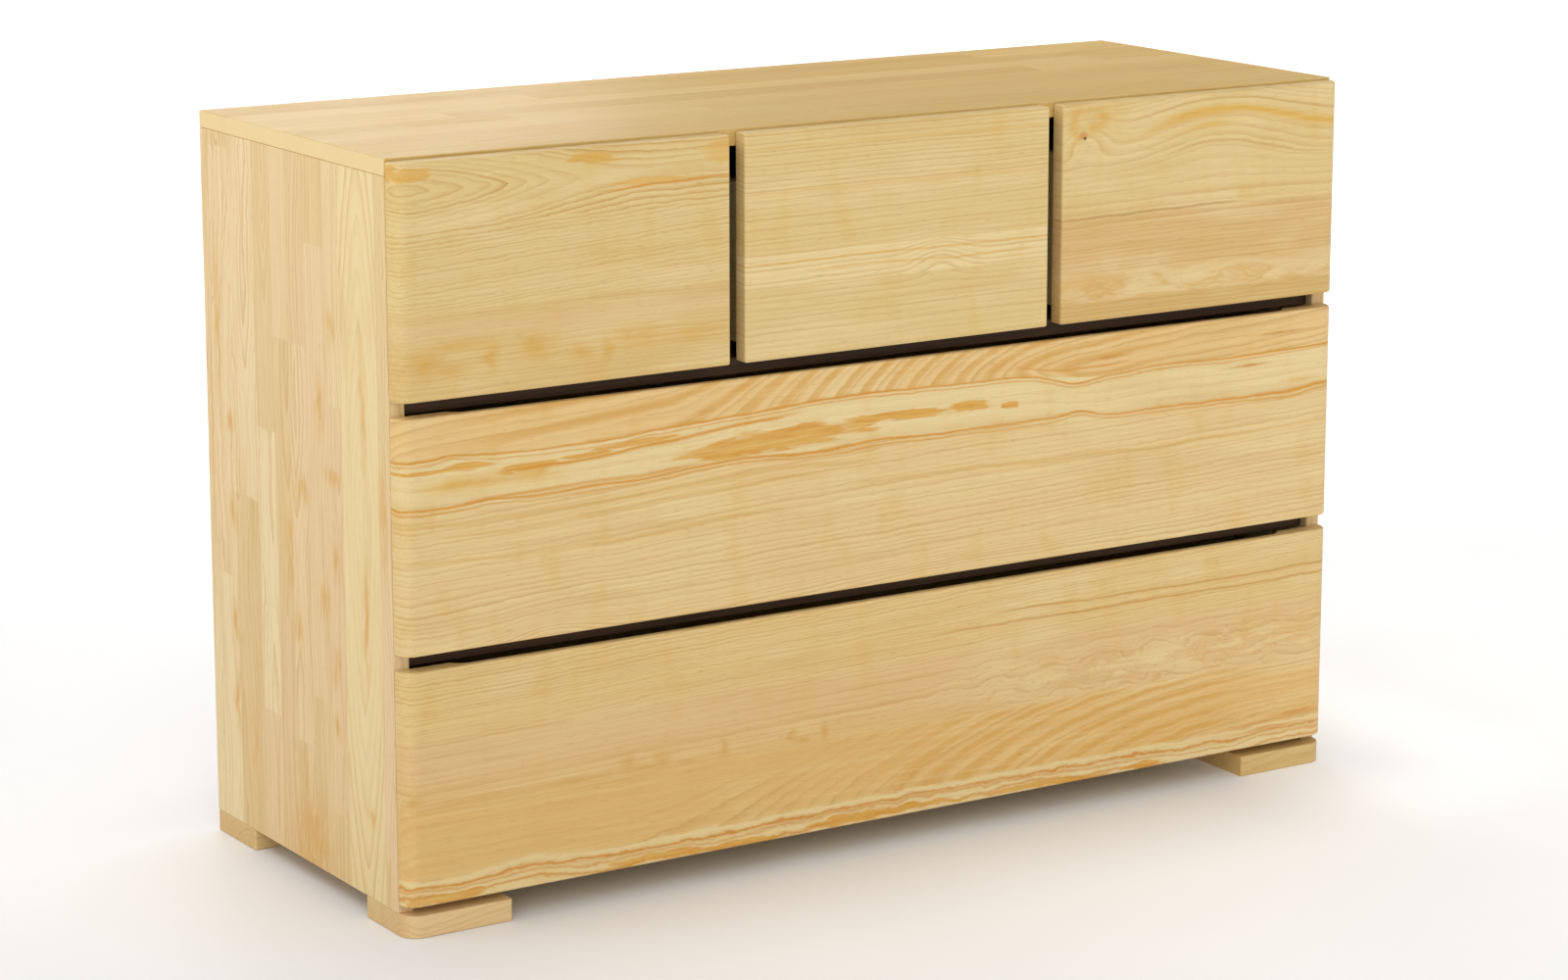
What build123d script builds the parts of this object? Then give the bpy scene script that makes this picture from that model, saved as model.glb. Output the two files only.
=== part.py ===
from build123d import *
import os

# A solid pine chest of five drawers: three small ones side by side, above two of the full width.
# There are no handles: the gaps between the fronts let the fingers in, behind a bevel on the fronts' backs.
# Millimetres. X runs to the right, Y from the drawer fronts to the back, Z up.
# The origin is on the floor, under the middle of the chest.

os.makedirs("parts", exist_ok=True)

# Overall size
width = 1200
depth = 450
height = 800

# Boards
board = 18
box_board = 12
bottom_board = 5
back_board = 4
arris = 1.2

# Drawer fronts
front_reveal = 2
front_drop = 3
front_floor = 33
lower_front_height = 247
middle_front_height = 244
upper_front_height = 241
row_gap = 16
slot = 18
end_radius = 17
slot_edge_radius = 3
front_arris = 2.5

# Finger bevel routed along the back of a front's edge, with a conical run-out at each end
bevel = 10
bevel_inset = 80
cutter_radius = 20

# Feet
foot_height = 24
foot_width = 122
foot_depth = 92
foot_corner = 20
foot_edge = 3
foot_arris = 2

# Set-back of the boards behind the finger gaps
finger_depth = 10
bottom_set_back = 10

# Rebate that takes the back panel
rebate_width = 9
rebate_play = 0.5

# Drawer boxes
slide_space = 13
box_length = 400
box_lift = 14
small_box_height = 170
large_box_height = 190
box_back_drop = 8
groove_rise = 10
groove_depth = 6
groove_bite = 5
groove_play = 0.2

# Drawer slides: three steel channels, one inside another
slide_length = 350
slide_back = 190
slide_rise = 60
slide_screw_inset = 25
slide_steel = 1.2
slide_bend = 0.4
cabinet_channel_height = 45
cabinet_channel_reach = 9.5
middle_channel_height = 41.2
middle_channel_start = 3.2
middle_channel_end = 10.6
drawer_channel_height = 37.4
drawer_channel_start = 5.4

# Screws
slide_screw_radius = 1.75
slide_screw_length = 9
slide_screw_head_radius = 3.2
slide_screw_head_height = 1.6
foot_screw_radius = 2.25
foot_screw_length = 36
foot_screw_head_radius = 4.4
foot_screw_head_height = 2.4
foot_screw_recess = 5
foot_screw_inset_x = 40
foot_screw_spacing_x = 55
foot_screw_inset_y = 46
foot_head_play = 0.4
screw_play = 0.1
head_rounding = 0.6
recess_depth = 0.9
recess_arm = 0.55
recess_span = 1.1

# Planes and spans worked out from the sizes above
side_outer = width / 2
side_inner = side_outer - board
front_face = -depth / 2
front_back = front_face + board
carcass_front = front_back + front_reveal
carcass_back = depth / 2
back_seat = carcass_back - back_board
divider_front = carcass_front + finger_depth
top_underside = height - board
floor_board_top = foot_height + board
lower_front_top = front_floor + lower_front_height
middle_front_floor = lower_front_top + row_gap
middle_front_top = middle_front_floor + middle_front_height
upper_front_floor = middle_front_top + row_gap
upper_front_top = height - front_drop
divider_lower_floor = lower_front_top + (row_gap - board) / 2
divider_upper_floor = middle_front_top + (row_gap - board) / 2
small_front_width = (width - 2 * slot) / 3
slot_inner = small_front_width / 2
slot_outer = slot_inner + slot
slide_front = slide_back - slide_length
slide_screw_places = [
    slide_front + slide_screw_inset,
    slide_front + slide_length / 2,
    slide_back - slide_screw_inset,
]

# Each drawer: the span of its front, its front's floor and top, the span and floor of its bay, and its box's height
drawers = {
    "drawer_upper_left": (
        (-side_outer, -slot_outer),
        (upper_front_floor, upper_front_top),
        (-side_inner, -slot_outer),
        divider_upper_floor + board,
        small_box_height,
    ),
    "drawer_upper_middle": (
        (-slot_inner, slot_inner),
        (upper_front_floor, upper_front_top),
        (-slot_inner, slot_inner),
        divider_upper_floor + board,
        small_box_height,
    ),
    "drawer_upper_right": (
        (slot_outer, side_outer),
        (upper_front_floor, upper_front_top),
        (slot_outer, side_inner),
        divider_upper_floor + board,
        small_box_height,
    ),
    "drawer_middle": (
        (-side_outer, side_outer),
        (middle_front_floor, middle_front_top),
        (-side_inner, side_inner),
        divider_lower_floor + board,
        large_box_height,
    ),
    "drawer_lower": (
        (-side_outer, side_outer),
        (front_floor, lower_front_top),
        (-side_inner, side_inner),
        floor_board_top,
        large_box_height,
    ),
}


def save(piece, name):
    """Labels a finished piece and writes it as one STEP file."""
    piece.part.label = name
    export_step(piece.part, f"parts/{name}.step")


def plank(x, y, z, edge=arris):
    """A plain board between two X, two Y and two Z places, with every arris eased."""
    with BuildPart() as piece:
        with BuildSketch(Plane.XY.offset(z[0])):
            with Locations(((x[0] + x[1]) / 2, (y[0] + y[1]) / 2)):
                Rectangle(x[1] - x[0], y[1] - y[0])
        extrude(amount=z[1] - z[0])
        fillet(piece.edges(), radius=edge)
    return piece


def cut(piece, x, y, z):
    """Cuts a rectangular groove, rebate or notch out of a piece."""
    with piece:
        with Locations(((x[0] + x[1]) / 2, (y[0] + y[1]) / 2, (z[0] + z[1]) / 2)):
            Box(x[1] - x[0], y[1] - y[0], z[1] - z[0], mode=Mode.SUBTRACT)


def drill(piece, planes, radius, hole_depth):
    """Drills blind holes down from planes whose normals point out of the wood."""
    with piece:
        with Locations(*planes):
            Hole(radius=radius, depth=hole_depth)


# ---------------------------------------------------------------- Screws


def cross_head_screw(shank_radius, length, head_radius, head_height):
    """A round-headed screw that points down, with the underside of its head on the XY plane."""
    with BuildPart() as screw:
        with BuildSketch(Plane.XY.offset(-length)):
            Circle(shank_radius)
        extrude(amount=length)
        with BuildSketch():
            Circle(head_radius)
        extrude(amount=head_height)
        fillet(screw.faces().sort_by(Axis.Z)[-1].edges(), radius=head_height * head_rounding)
        with BuildSketch(Plane.XY.offset(head_height)):
            Rectangle(recess_span * head_radius, recess_arm)
            Rectangle(recess_arm, recess_span * head_radius)
        extrude(amount=-recess_depth, mode=Mode.SUBTRACT)
    return screw


def screws_at(screw, planes):
    """A group of the same screw, one seated on each plane."""
    with BuildPart() as group:
        with Locations(*planes):
            add(screw.part)
    return group


slide_screw = cross_head_screw(
    slide_screw_radius, slide_screw_length, slide_screw_head_radius, slide_screw_head_height
)
foot_screw = cross_head_screw(
    foot_screw_radius, foot_screw_length, foot_screw_head_radius, foot_screw_head_height
)


def slide_screw_planes(wall, toward, slide_height):
    """The seats of the screws that hold a channel's web on a wall; toward is the way its normal points."""
    seat = wall + toward * slide_steel
    return [
        Plane(origin=(seat, y, slide_height), z_dir=(toward, 0, 0)) for y in slide_screw_places
    ]


cabinet_screw_planes = {}
for front_span, front_rise, bay, bay_floor, box_height in drawers.values():
    slide_height = bay_floor + box_lift + slide_rise
    for wall, toward in ((bay[0], 1), (bay[1], -1)):
        planes = slide_screw_planes(wall, toward, slide_height)
        cabinet_screw_planes.setdefault(wall, []).extend(planes)

foot_screw_planes = []
for side in (-1, 1):
    for end in (-1, 1):
        for step in (0, foot_screw_spacing_x):
            x = side * (side_outer - foot_screw_inset_x - step)
            y = end * (depth / 2 - foot_screw_inset_y)
            foot_screw_planes.append(
                Plane(origin=(x, y, foot_screw_recess), z_dir=(0, 0, -1))
            )

# ---------------------------------------------------------------- Carcass

top_panel = plank((-side_outer, side_outer), (carcass_front, carcass_back), (top_underside, height))
cut(
    top_panel,
    (-side_inner - rebate_width, side_inner + rebate_width),
    (back_seat, carcass_back + board),
    (top_underside - board, top_underside + rebate_width),
)
save(top_panel, "top_panel")

for side, hand in ((-1, "left"), (1, "right")):
    outer = side * side_outer
    inner = side * side_inner
    side_panel = plank(
        (min(outer, inner), max(outer, inner)),
        (carcass_front, carcass_back),
        (foot_height, top_underside),
    )
    rebate = (side * (side_inner - board), side * (side_inner + rebate_width))
    cut(side_panel, (min(rebate), max(rebate)), (back_seat, carcass_back + board), (0, height))
    drill(
        side_panel,
        cabinet_screw_planes[inner],
        slide_screw_radius + screw_play,
        slide_screw_length + screw_play,
    )
    save(side_panel, f"side_panel_{hand}")

bottom_panel = plank(
    (-side_inner, side_inner),
    (carcass_front + bottom_set_back, back_seat),
    (foot_height, floor_board_top),
)
drill(
    bottom_panel,
    foot_screw_planes,
    foot_screw_radius + screw_play,
    foot_screw_length + screw_play,
)
save(bottom_panel, "bottom_panel")

for divider_floor, level in ((divider_lower_floor, "lower"), (divider_upper_floor, "upper")):
    divider = plank(
        (-side_inner, side_inner),
        (divider_front, back_seat),
        (divider_floor, divider_floor + board),
    )
    save(divider, f"divider_{level}")

for side, hand in ((-1, "left"), (1, "right")):
    near = side * slot_inner
    far = side * slot_outer
    partition = plank(
        (min(near, far), max(near, far)),
        (divider_front, back_seat),
        (divider_upper_floor + board, top_underside),
    )
    drill(
        partition,
        cabinet_screw_planes[near] + cabinet_screw_planes[far],
        slide_screw_radius + screw_play,
        slide_screw_length + screw_play,
    )
    save(partition, f"partition_{hand}")

with BuildPart() as back_panel:
    with BuildSketch(Plane.XZ.offset(-carcass_back)):
        with Locations((0, (foot_height + top_underside + rebate_width) / 2)):
            Rectangle(
                2 * (side_inner + rebate_width - rebate_play),
                top_underside + rebate_width - foot_height - 2 * rebate_play,
            )
    extrude(amount=back_board)
save(back_panel, "back_panel")

# ---------------------------------------------------------------- Feet


def foot(side, end):
    """A block foot, flush with the chest's outer faces. The front feet have a rounded outer corner."""
    x = side * (side_outer - foot_width / 2)
    y = end * (depth / 2 - foot_depth / 2)
    with BuildPart() as block:
        with BuildSketch() as plan:
            with Locations((x, y)):
                Rectangle(foot_width, foot_depth)
            corners = plan.vertices().group_by(Axis.Y)[0].sort_by(Axis.X)
            outer_front = corners[0] if side < 0 else corners[-1]
            if end < 0:
                fillet(outer_front, radius=foot_corner)
                fillet(
                    plan.vertices().sort_by_distance((side * side_outer, front_face))[2:],
                    radius=foot_edge,
                )
            else:
                fillet(plan.vertices(), radius=foot_edge)
        extrude(amount=foot_height)
        fillet(block.faces().sort_by(Axis.Z)[0].edges(), radius=foot_arris)
        fillet(block.faces().sort_by(Axis.Z)[-1].edges(), radius=arris)
        own_planes = [
            plane
            for plane in foot_screw_planes
            if plane.origin.X * side > 0 and plane.origin.Y * end > 0
        ]
        with Locations(*own_planes):
            Hole(radius=foot_screw_radius + screw_play)
        with Locations(*[plane.offset(foot_screw_recess) for plane in own_planes]):
            Hole(radius=foot_screw_head_radius + foot_head_play, depth=foot_screw_recess)
    return block


for side, hand in ((-1, "left"), (1, "right")):
    for end, place in ((-1, "front"), (1, "back")):
        save(foot(side, end), f"foot_{place}_{hand}")

save(screws_at(foot_screw, foot_screw_planes), "foot_screws")
save(
    screws_at(slide_screw, [plane for group in cabinet_screw_planes.values() for plane in group]),
    "cabinet_slide_screws",
)

# ---------------------------------------------------------------- Drawer slides


def channels(walls, start, end, channel_height, slide_height, web_at_start):
    """A handed pair of steel channels; start and end are measured from the walls of the bay."""
    with BuildPart() as pair:
        for wall, toward in ((walls[0], 1), (walls[1], -1)):
            with BuildSketch(Plane.XZ.offset(-slide_back)) as section:
                middle = wall + toward * (start + end) / 2
                web_shift = slide_steel if web_at_start else -slide_steel
                with Locations((middle, slide_height)):
                    Rectangle(end - start, channel_height)
                with Locations((middle + toward * web_shift, slide_height)):
                    Rectangle(end - start, channel_height - 2 * slide_steel, mode=Mode.SUBTRACT)
                fillet(section.vertices(), radius=slide_bend)
            extrude(amount=slide_length)
    return pair


# ---------------------------------------------------------------- Drawers


def drawer_front(span, rise, bevel_at_top):
    """A drawer front, with a finger bevel along the back of its top or bottom edge.

    Where it reaches the chest's side, that end is rounded over its whole thickness.
    """
    with BuildPart() as front:
        with BuildSketch(Plane.XY.offset(rise[0])) as plan:
            with Locations(((span[0] + span[1]) / 2, (front_face + front_back) / 2)):
                Rectangle(span[1] - span[0], board)
            for end, outward in ((0, -1), (1, 1)):
                at_side = span[end] == outward * side_outer
                fillet(
                    plan.vertices().sort_by_distance((span[end], front_face))[0],
                    radius=end_radius if at_side else slot_edge_radius,
                )
        extrude(amount=rise[1] - rise[0])
        for level in (0, -1):
            rim = front.faces().sort_by(Axis.Z)[level].edges()
            fillet(rim.sort_by(Axis.Y)[:-1], radius=front_arris)
        starts = (span[0] + bevel_inset, span[1] - bevel_inset)
        edge = rise[1] if bevel_at_top else rise[0]
        inward = -bevel if bevel_at_top else bevel
        with BuildSketch(Plane.YZ.offset(starts[0])):
            with BuildLine():
                Polyline(
                    (front_back - bevel, edge),
                    (front_back, edge),
                    (front_back, edge + inward),
                    close=True,
                )
            make_face()
        extrude(amount=starts[1] - starts[0], mode=Mode.SUBTRACT)
        tip_radius = cutter_radius - bevel
        radii = (tip_radius, cutter_radius) if bevel_at_top else (cutter_radius, tip_radius)
        with Locations(*[(x, front_back + tip_radius, edge + inward / 2) for x in starts]):
            Cone(bottom_radius=radii[0], top_radius=radii[1], height=bevel, mode=Mode.SUBTRACT)
    return front


def make_drawer(name, span, rise, bay, bay_floor, box_height):
    """One whole drawer: front, box, slides and screws, and its pair of channels on the bay's walls."""
    box_floor = bay_floor + box_lift
    box_top = box_floor + box_height
    outer = (bay[0] + slide_space, bay[1] - slide_space)
    inner = (outer[0] + box_board, outer[1] - box_board)
    box_back = front_back + box_length
    bottom_floor = box_floor + groove_rise
    bottom_top = bottom_floor + bottom_board
    groove = (bottom_floor - groove_play, bottom_top + groove_play)
    slide_height = box_floor + slide_rise

    front = drawer_front(span, rise, bevel_at_top=rise[1] < upper_front_top)
    cut(
        front,
        (inner[0] - groove_depth, inner[1] + groove_depth),
        (front_back - groove_depth, front_back + board),
        groove,
    )
    save(front, f"{name}_front")

    all_planes = []
    for hand, outside, inside, toward in (
        ("left", outer[0], inner[0], -1),
        ("right", outer[1], inner[1], 1),
    ):
        box_side = plank(
            (min(outside, inside), max(outside, inside)),
            (front_back, box_back),
            (box_floor, box_top),
        )
        groove_end = inside + toward * groove_depth
        open_end = inside - toward * groove_depth
        cut(
            box_side,
            (min(groove_end, open_end), max(groove_end, open_end)),
            (front_back - board, box_back + board),
            groove,
        )
        planes = slide_screw_planes(outside, toward, slide_height)
        drill(
            box_side,
            planes,
            slide_screw_radius + screw_play,
            slide_screw_length + screw_play,
        )
        all_planes.extend(planes)
        save(box_side, f"{name}_side_{hand}")

    box_rear = plank(inner, (box_back - box_board, box_back), (bottom_top, box_top - box_back_drop))
    save(box_rear, f"{name}_back")

    with BuildPart() as box_bottom:
        with BuildSketch(Plane.XY.offset(bottom_floor)):
            with Locations(((inner[0] + inner[1]) / 2, (front_back - groove_bite + box_back) / 2)):
                Rectangle(inner[1] - inner[0] + 2 * groove_bite, box_length + groove_bite)
        extrude(amount=bottom_board)
    save(box_bottom, f"{name}_bottom")

    cabinet_pair = channels(bay, 0, cabinet_channel_reach, cabinet_channel_height, slide_height, True)
    middle_pair = channels(
        bay, middle_channel_start, middle_channel_end, middle_channel_height, slide_height, True
    )
    drawer_pair = channels(
        bay, drawer_channel_start, slide_space, drawer_channel_height, slide_height, False
    )
    drill(
        cabinet_pair,
        slide_screw_planes(bay[0], 1, slide_height) + slide_screw_planes(bay[1], -1, slide_height),
        slide_screw_radius + screw_play,
        slide_steel,
    )
    drill(drawer_pair, all_planes, slide_screw_radius + screw_play, slide_steel)
    save(cabinet_pair, f"cabinet_slides_{name}")
    save(middle_pair, f"{name}_middle_slides")
    save(drawer_pair, f"{name}_slides")
    save(screws_at(slide_screw, all_planes), f"{name}_slide_screws")


for name, (span, rise, bay, bay_floor, box_height) in drawers.items():
    make_drawer(name, span, rise, bay, bay_floor, box_height)
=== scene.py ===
"""A low chest of five drawers in clear-varnished pine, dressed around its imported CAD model."""

import math

import bmesh
import bpy
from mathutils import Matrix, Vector


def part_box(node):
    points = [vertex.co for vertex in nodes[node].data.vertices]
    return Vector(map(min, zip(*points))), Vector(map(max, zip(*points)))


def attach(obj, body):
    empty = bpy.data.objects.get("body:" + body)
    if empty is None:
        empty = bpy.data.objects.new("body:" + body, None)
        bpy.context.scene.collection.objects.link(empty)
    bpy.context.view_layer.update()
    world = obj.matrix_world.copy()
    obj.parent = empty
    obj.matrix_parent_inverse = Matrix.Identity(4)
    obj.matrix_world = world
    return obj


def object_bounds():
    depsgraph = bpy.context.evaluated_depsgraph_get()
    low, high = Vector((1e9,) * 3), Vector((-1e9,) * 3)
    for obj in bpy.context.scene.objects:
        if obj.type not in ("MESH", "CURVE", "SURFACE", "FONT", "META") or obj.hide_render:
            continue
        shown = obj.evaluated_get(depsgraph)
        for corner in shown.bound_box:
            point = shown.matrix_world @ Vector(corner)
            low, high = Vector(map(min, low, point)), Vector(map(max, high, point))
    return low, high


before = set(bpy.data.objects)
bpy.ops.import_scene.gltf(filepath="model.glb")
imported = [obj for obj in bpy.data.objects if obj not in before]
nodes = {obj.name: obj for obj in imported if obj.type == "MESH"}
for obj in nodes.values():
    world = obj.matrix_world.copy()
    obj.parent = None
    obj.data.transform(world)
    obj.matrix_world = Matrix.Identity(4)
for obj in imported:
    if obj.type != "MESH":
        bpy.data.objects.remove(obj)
CAD_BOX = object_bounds()

DRAWERS = ("upper_left", "upper_middle", "upper_right", "middle", "lower")
X, Y, Z = 0, 1, 2


# ---------------------------------------------------------------- shader tools


def srgb(red, green, blue):
    """A colour from its 0 to 255 display values."""
    linear = []
    for value in (red, green, blue):
        share = value / 255
        linear.append(share / 12.92 if share < 0.04 else ((share + 0.055) / 1.055) ** 2.4)
    return (*linear, 1.0)


class Value:
    """A number that shader nodes work out, with ordinary arithmetic."""

    def __init__(self, graph, socket):
        self.graph = graph
        self.socket = socket

    def __add__(self, other):
        return self.graph.math("ADD", self, other)

    def __sub__(self, other):
        return self.graph.math("SUBTRACT", self, other)

    def __rsub__(self, other):
        return self.graph.math("SUBTRACT", other, self)

    def __mul__(self, other):
        return self.graph.math("MULTIPLY", self, other)

    def __truediv__(self, other):
        return self.graph.math("DIVIDE", self, other)

    def __gt__(self, other):
        return self.graph.math("GREATER_THAN", self, other)

    def __lt__(self, other):
        return self.graph.math("LESS_THAN", self, other)

    def __neg__(self):
        return self.graph.math("MULTIPLY", self, -1.0)

    __radd__ = __add__
    __rmul__ = __mul__


class Graph:
    """A material with one Principled shader, and short calls that add nodes to it."""

    def __init__(self, name):
        self.material = bpy.data.materials.new(name)
        self.material.use_nodes = True
        self.tree = self.material.node_tree
        self.tree.nodes.clear()
        output = self.node("ShaderNodeOutputMaterial")
        self.shader = self.node("ShaderNodeBsdfPrincipled")
        self.tree.links.new(self.shader.outputs["BSDF"], output.inputs["Surface"])

    def node(self, kind, **settings):
        """A new node with the given settings."""
        made = self.tree.nodes.new(kind)
        for key, value in settings.items():
            setattr(made, key, value)
        return made

    def feed(self, socket, value):
        """Links a Value to a socket, or sets a plain number or colour on it."""
        if isinstance(value, Value):
            self.tree.links.new(value.socket, socket)
        else:
            socket.default_value = value

    def math(self, operation, *values):
        """One arithmetic node on numbers or Values."""
        made = self.node("ShaderNodeMath", operation=operation)
        for socket, value in zip(made.inputs, values):
            self.feed(socket, value)
        return Value(self, made.outputs[0])

    def place(self):
        """The point in the chest's frame, as x, y and z, which moves with the drawer."""
        point = self.node("ShaderNodeTexCoord").outputs["Object"]
        parts = self.node("ShaderNodeSeparateXYZ")
        self.tree.links.new(point, parts.inputs[0])
        return [Value(self, parts.outputs[i]) for i in range(3)]

    def normal(self):
        """The way the surface faces, as x, y and z in the chest's frame."""
        parts = self.node("ShaderNodeSeparateXYZ")
        self.tree.links.new(self.node("ShaderNodeTexCoord").outputs["Normal"], parts.inputs[0])
        return [Value(self, parts.outputs[i]) for i in range(3)]

    def vector(self, x, y, z):
        """A point made of three numbers or Values."""
        made = self.node("ShaderNodeCombineXYZ")
        for socket, value in zip(made.inputs, (x, y, z)):
            self.feed(socket, value)
        return Value(self, made.outputs[0])

    def noise(self, x, y, z, detail=2.0, roughness=0.5, distortion=0.0):
        """Smooth noise from 0 to 1, with one cell to each unit of x, y and z."""
        made = self.node("ShaderNodeTexNoise")
        self.feed(made.inputs["Vector"], self.vector(x, y, z))
        made.inputs["Scale"].default_value = 1.0
        made.inputs["Detail"].default_value = detail
        made.inputs["Roughness"].default_value = roughness
        made.inputs["Distortion"].default_value = distortion
        return Value(self, made.outputs["Fac"])

    def white(self, x, y=0.0, z=0.0):
        """An unrelated random number from 0 to 1 for each different point."""
        made = self.node("ShaderNodeTexWhiteNoise", noise_dimensions="3D")
        self.feed(made.inputs["Vector"], self.vector(x, y, z))
        return Value(self, made.outputs["Value"])

    def ramp(self, value, stops):
        """A colour picked along stops, which are (position, colour)."""
        made = self.node("ShaderNodeValToRGB")
        line = made.color_ramp
        while len(line.elements) < len(stops):
            line.elements.new(0.5)
        for element, (position, colour) in zip(line.elements, stops):
            element.position = position
            element.color = colour
        self.feed(made.inputs[0], value)
        return Value(self, made.outputs["Color"])

    def curve(self, value, stops):
        """A number picked along stops, which are (position, number)."""
        grey = [(at, (level, level, level, 1.0)) for at, level in stops]
        return self.ramp(value, grey)

    def smooth(self, value, low, high):
        """0 below low and 1 above high, with a soft step between."""
        made = self.node("ShaderNodeMapRange", interpolation_type="SMOOTHSTEP")
        self.feed(made.inputs["Value"], value)
        made.inputs["From Min"].default_value = low
        made.inputs["From Max"].default_value = high
        return Value(self, made.outputs[0])

    def mix(self, share, first, second):
        """The first colour where share is 0, and the second where it is 1."""
        made = self.node("ShaderNodeMix", data_type="RGBA", blend_type="MIX")
        made.clamp_factor = True
        self.feed(made.inputs[0], share)
        self.feed(made.inputs[6], first)
        self.feed(made.inputs[7], second)
        return Value(self, made.outputs[2])

    def bump(self, height, distance):
        """Relief where height is above 0, which is distance deep at 1."""
        made = self.node("ShaderNodeBump")
        made.inputs["Strength"].default_value = 1.0
        made.inputs["Distance"].default_value = distance
        self.feed(made.inputs["Height"], height)
        self.tree.links.new(made.outputs[0], self.shader.inputs["Normal"])

    def set(self, **values):
        """Sets or feeds the shader's sockets, with _ for the spaces in their names."""
        for key, value in values.items():
            self.feed(self.shader.inputs[key.replace("_", " ")], value)

    def bell(self, u, d, at, size):
        """1 at a place on the board, and falling to 0 around it."""
        across = (u - at[0]) / size[0]
        down = (d - at[1]) / size[1]
        return self.math("EXPONENT", -(across * across + down * down))

    def patch(self, u, d, at, size, rough, ragged):
        """A lens-shaped patch with a ragged rim."""
        across = (u - at[0]) / size[0]
        down = (d - at[1]) / size[1]
        reach = across * across + down * down + (rough - 0.5) * ragged * 4.0
        return self.smooth(reach * -1.0, -1.15, -0.55)


# ---------------------------------------------------------------- pine

PALE = srgb(230, 209, 156)
STRAW = srgb(221, 196, 137)
BUFF = srgb(216, 187, 126)
TAN = srgb(208, 176, 114)
BLUSH = srgb(228, 197, 148)
LATE = srgb(189, 139, 62)
AMBER = srgb(208, 143, 44)
HONEY = srgb(217, 168, 78)
BROWN = srgb(150, 98, 46)
GOLD = srgb(211, 164, 74)
END_GRAIN = srgb(176, 130, 70)
FLAME = srgb(212, 162, 82)

ARCH_POWER = 1.45        # 2 gives round arches and 1 gives pointed ones
RING_DRIFT = 0.3         # depth added for each metre behind a front's face
END_FACE = (0.6, 0.95)   # how squarely a face looks along the grain where end grain starts and is full
FRONT_END_TONE = 0.06
GRAIN_RELIEF = 0.00012
VARNISH_GLOSS = 0.18
TOP_GLOSS = 0.07


def late_wood(g, rings, seed):
    """How dark the late wood is, from 0 to 1, in a field that counts the growth rings."""
    uneven = g.noise(rings * 0.31, seed, 0.0, detail=1.0)
    counted = rings + uneven * 2.4
    year = g.math("FLOOR", counted)
    inside = g.math("FRACT", counted)
    profile = g.curve(inside, [(0.0, 0.7), (0.06, 0.0), (0.45, 0.06), (0.78, 0.55), (0.93, 1.0)])
    return profile * (g.white(year, seed) * 0.75 + 0.25)


def ring_count(g, across, depth):
    """How far a point is from the pith. Its level lines are arches near it and straight further off."""
    flat = g.math("POWER", g.math("ABSOLUTE", across), ARCH_POWER)
    deep = g.math("POWER", g.math("ABSOLUTE", depth), ARCH_POWER)
    return g.math("POWER", flat + deep, 1.0 / ARCH_POWER)


def varnished(g, colour, late, u, v, w, end_grain, end_tone, end_colour=END_GRAIN, gloss=VARNISH_GLOSS):
    """Fibres, resin ducts and satin varnish over the colour of the wood."""
    fibre = g.noise(u * 14.0, v * 900.0, w * 900.0, detail=3.0, roughness=0.6)
    streak = g.noise(u * 3.0, v * 160.0, w * 160.0, detail=2.0)
    duct = g.noise(u * 70.0, v * 1500.0, w * 1500.0, detail=0.0)
    ducts = g.smooth(duct, 0.72, 0.80) * 0.35
    fibred = g.mix(g.smooth(fibre, 0.35, 0.75) * 0.22, colour, LATE)
    streaked = g.mix(g.smooth(streak, 0.40, 0.85) * 0.30, fibred, PALE)
    dotted = g.mix(ducts, streaked, BROWN)
    ended = g.mix(end_grain * end_tone, dotted, end_colour)
    smudge = g.noise(u * 9.0, v * 14.0, w * 14.0, detail=3.0)
    height = late * 0.45 + fibre * 0.4 - ducts * 0.8
    g.set(Base_Color=ended, Roughness=smudge * 0.14 + fibre * 0.06 + end_grain * 0.16 + 0.30)
    g.set(Specular_IOR_Level=gloss)
    g.bump(height, GRAIN_RELIEF)
    return g.material


def banded(edges, values):
    """A number that changes at each edge, which is 0 before it and 1 after it."""
    total = edges[0] * 0.0 + values[0]
    for edge, before, after in zip(edges, values, values[1:]):
        if after != before:
            total = total + edge * (after - before)
    return total


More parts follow.
